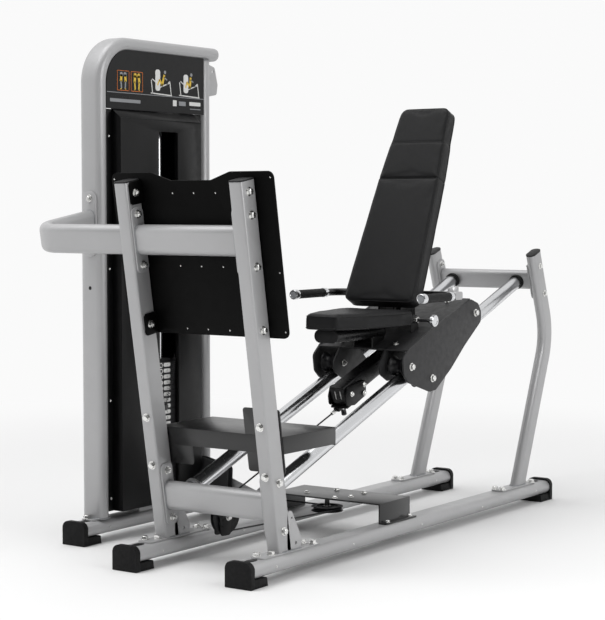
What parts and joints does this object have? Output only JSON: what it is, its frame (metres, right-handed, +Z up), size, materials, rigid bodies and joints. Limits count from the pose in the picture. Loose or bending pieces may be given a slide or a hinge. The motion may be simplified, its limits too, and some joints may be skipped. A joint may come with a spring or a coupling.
{
  "type": "leg press machine",
  "caption": "Seated leg press: a padded carriage on rollers rides up two inclined chrome guide tubes, facing a fixed footplate, cabled to a shrouded weight stack tower.",
  "frame": {"origin": "on the floor, at the centre of the whole machine's footprint", "axes": "+Z up, +Y from the footplate end towards the rear legs, +X away from the weight tower"},
  "size_m": [1.076, 2.1646, 1.812],
  "materials": {
    "silver_frame": "satin silver-grey powder coat",
    "black_sheet": "satin black powder coat, fine texture",
    "charcoal_frame": "satin charcoal powder coat",
    "chrome_tube": "polished chrome plate",
    "iron_plate": "black painted weight plates",
    "foot_rubber": "moulded rubber",
    "grip_rubber": "rubber grip sleeve",
    "pad_vinyl": "black upholstery vinyl, leather grain",
    "pulley_nylon": "moulded nylon",
    "print_panel": "printed instruction panel",
    "cable_sheath": "black nylon-sheathed steel cable",
    "pin_plastic": "moulded knob"
  },
  "bodies": {
    "frame": {"left_base_rail": "silver_frame", "right_base_rail": "silver_frame", "tower_base_rail": "silver_frame", "foot_left_front": "foot_rubber", "foot_left_rear": "foot_rubber", "foot_right_front": "foot_rubber", "foot_right_rear": "foot_rubber", "foot_tower_front": "foot_rubber", "foot_tower_rear": "foot_rubber", "tower_front_frame": "silver_frame", "tower_rear_post": "silver_frame", "front_post_left": "silver_frame", "front_post_right": "silver_frame", "upper_crossbar": "silver_frame", "link_arm": "silver_frame", "lower_crossbar": "silver_frame", "rear_leg_left": "silver_frame", "rear_leg_right": "silver_frame", "rear_crossbar": "silver_frame", "guide_tube_left": "chrome_tube", "guide_tube_right": "chrome_tube", "footplate": "black_sheet", "step_plate": "black_sheet", "bridge_plate": "black_sheet", "link_beam": "charcoal_frame", "top_pulley_carrier": "charcoal_frame", "front_shroud": "black_sheet", "rear_shroud": "black_sheet", "sign_panel": "print_panel", "stack_rod_front": "chrome_tube", "stack_rod_rear": "chrome_tube", "resting_plates": "iron_plate", "tower_cable": "cable_sheath", "stack_cable": "cable_sheath", "press_cable": "cable_sheath"},
    "bridge_pulley": {"bridge_pulley": "pulley_nylon"},
    "lower_pulley": {"lower_pulley": "pulley_nylon"},
    "base_pulley": {"base_pulley": "pulley_nylon"},
    "top_pulley_front": {"top_pulley_front": "pulley_nylon"},
    "top_pulley_rear": {"top_pulley_rear": "pulley_nylon"},
    "stack": {"lifted_plates": "iron_plate"},
    "selector_pin": {"selector_pin": "pin_plastic"},
    "tow_block": {"tow_block": "black_sheet"},
    "start_pin": {"start_pin": "chrome_tube"},
    "carriage": {"carriage_frame": "charcoal_frame", "range_tube": "black_sheet", "seat_pad": "pad_vinyl", "handle_tube": "black_sheet", "grip_left": "grip_rubber", "grip_right": "grip_rubber"},
    "backrest": {"backrest_frame": "black_sheet", "backrest_pad_lower": "pad_vinyl", "backrest_pad_upper": "pad_vinyl"},
    "recline_knob": {"recline_knob": "chrome_tube"},
    "roller_left_rear": {"roller_left_rear": "pulley_nylon"},
    "roller_left_front": {"roller_left_front": "pulley_nylon"},
    "roller_left_under": {"roller_left_under": "pulley_nylon"},
    "roller_right_rear": {"roller_right_rear": "pulley_nylon"},
    "roller_right_front": {"roller_right_front": "pulley_nylon"},
    "roller_right_under": {"roller_right_under": "pulley_nylon"}
  },
  "joints": [
    {"name": "press_slide", "type": "slide", "parent": "frame", "child": "tow_block", "axis": [0, 0.9394, 0.3428], "range_m": [0, 0.35], "deforming": ["press_cable"]},
    {"name": "start_adjust", "type": "slide", "parent": "tow_block", "child": "carriage", "axis": [0, 0.9394, 0.3428], "range_m": [-0.3, 0]},
    {"name": "start_pin_pull", "type": "slide", "parent": "tow_block", "child": "start_pin", "axis": [0, 0.3428, -0.9394], "range_m": [0, 0.014]},
    {"name": "backrest_recline", "type": "hinge", "parent": "carriage", "child": "backrest", "pos_m": [0.208, 0.23058, 0.88932], "axis": [-1, 0, 0], "range_deg": [0, 18]},
    {"name": "recline_knob_pull", "type": "slide", "parent": "carriage", "child": "recline_knob", "axis": [1, 0, 0], "range_m": [0, 0.012]},
    {"name": "stack_lift", "type": "slide", "parent": "frame", "child": "stack", "axis": [0, 0, 1], "range_m": [0, 0.35], "deforming": ["stack_cable"]},
    {"name": "selector_pin_pull", "type": "slide", "parent": "stack", "child": "selector_pin", "axis": [1, 0, 0], "range_m": [0, 0.085]},
    {"name": "top_pulley_front_spin", "type": "hinge", "parent": "frame", "child": "top_pulley_front", "pos_m": [-0.46, -0.36225, 1.69], "axis": [1, 0, 0], "continuous": true},
    {"name": "top_pulley_rear_spin", "type": "hinge", "parent": "frame", "child": "top_pulley_rear", "pos_m": [-0.46, -0.21425, 1.69], "axis": [1, 0, 0], "continuous": true},
    {"name": "base_pulley_spin", "type": "hinge", "parent": "frame", "child": "base_pulley", "pos_m": [-0.408, -0.16225, 0.162], "axis": [0, 1, 0], "continuous": true},
    {"name": "bridge_pulley_spin", "type": "hinge", "parent": "frame", "child": "bridge_pulley", "pos_m": [0.208, -0.21425, 0.112], "axis": [0, 0, 1], "continuous": true},
    {"name": "lower_pulley_spin", "type": "hinge", "parent": "frame", "child": "lower_pulley", "pos_m": [0.142, -0.73925, 0.152], "axis": [0.9871, -0.1599, 0], "continuous": true},
    {"name": "roller_left_rear_spin", "type": "hinge", "parent": "carriage", "child": "roller_left_rear", "pos_m": [0.058, 0.5215, 0.79208], "axis": [1, 0, 0], "continuous": true},
    {"name": "roller_left_front_spin", "type": "hinge", "parent": "carriage", "child": "roller_left_front", "pos_m": [0.058, 0.04147, 0.61689], "axis": [1, 0, 0], "continuous": true},
    {"name": "roller_left_under_spin", "type": "hinge", "parent": "carriage", "child": "roller_left_under", "pos_m": [0.058, 0.19313, 0.56302], "axis": [1, 0, 0], "continuous": true},
    {"name": "roller_right_rear_spin", "type": "hinge", "parent": "carriage", "child": "roller_right_rear", "pos_m": [0.358, 0.5215, 0.79208], "axis": [1, 0, 0], "continuous": true},
    {"name": "roller_right_front_spin", "type": "hinge", "parent": "carriage", "child": "roller_right_front", "pos_m": [0.358, 0.04147, 0.61689], "axis": [1, 0, 0], "continuous": true},
    {"name": "roller_right_under_spin", "type": "hinge", "parent": "carriage", "child": "roller_right_under", "pos_m": [0.358, 0.19313, 0.56302], "axis": [1, 0, 0], "continuous": true}
  ],
  "couplings": [
    {"joint": "stack_lift", "follows": "press_slide", "ratio": 1},
    {"joint": "top_pulley_front_spin", "follows": "press_slide", "rad_per_m": -19.231},
    {"joint": "top_pulley_rear_spin", "follows": "press_slide", "rad_per_m": -19.231},
    {"joint": "base_pulley_spin", "follows": "press_slide", "rad_per_m": -19.231},
    {"joint": "bridge_pulley_spin", "follows": "press_slide", "rad_per_m": -19.231},
    {"joint": "lower_pulley_spin", "follows": "press_slide", "rad_per_m": -19.231},
    {"joint": "roller_left_rear_spin", "follows": "press_slide", "rad_per_m": -40.984},
    {"joint": "roller_left_front_spin", "follows": "press_slide", "rad_per_m": -40.984},
    {"joint": "roller_left_under_spin", "follows": "press_slide", "rad_per_m": 40.984},
    {"joint": "roller_right_rear_spin", "follows": "press_slide", "rad_per_m": -40.984},
    {"joint": "roller_right_front_spin", "follows": "press_slide", "rad_per_m": -40.984},
    {"joint": "roller_right_under_spin", "follows": "press_slide", "rad_per_m": 40.984}
  ]
}
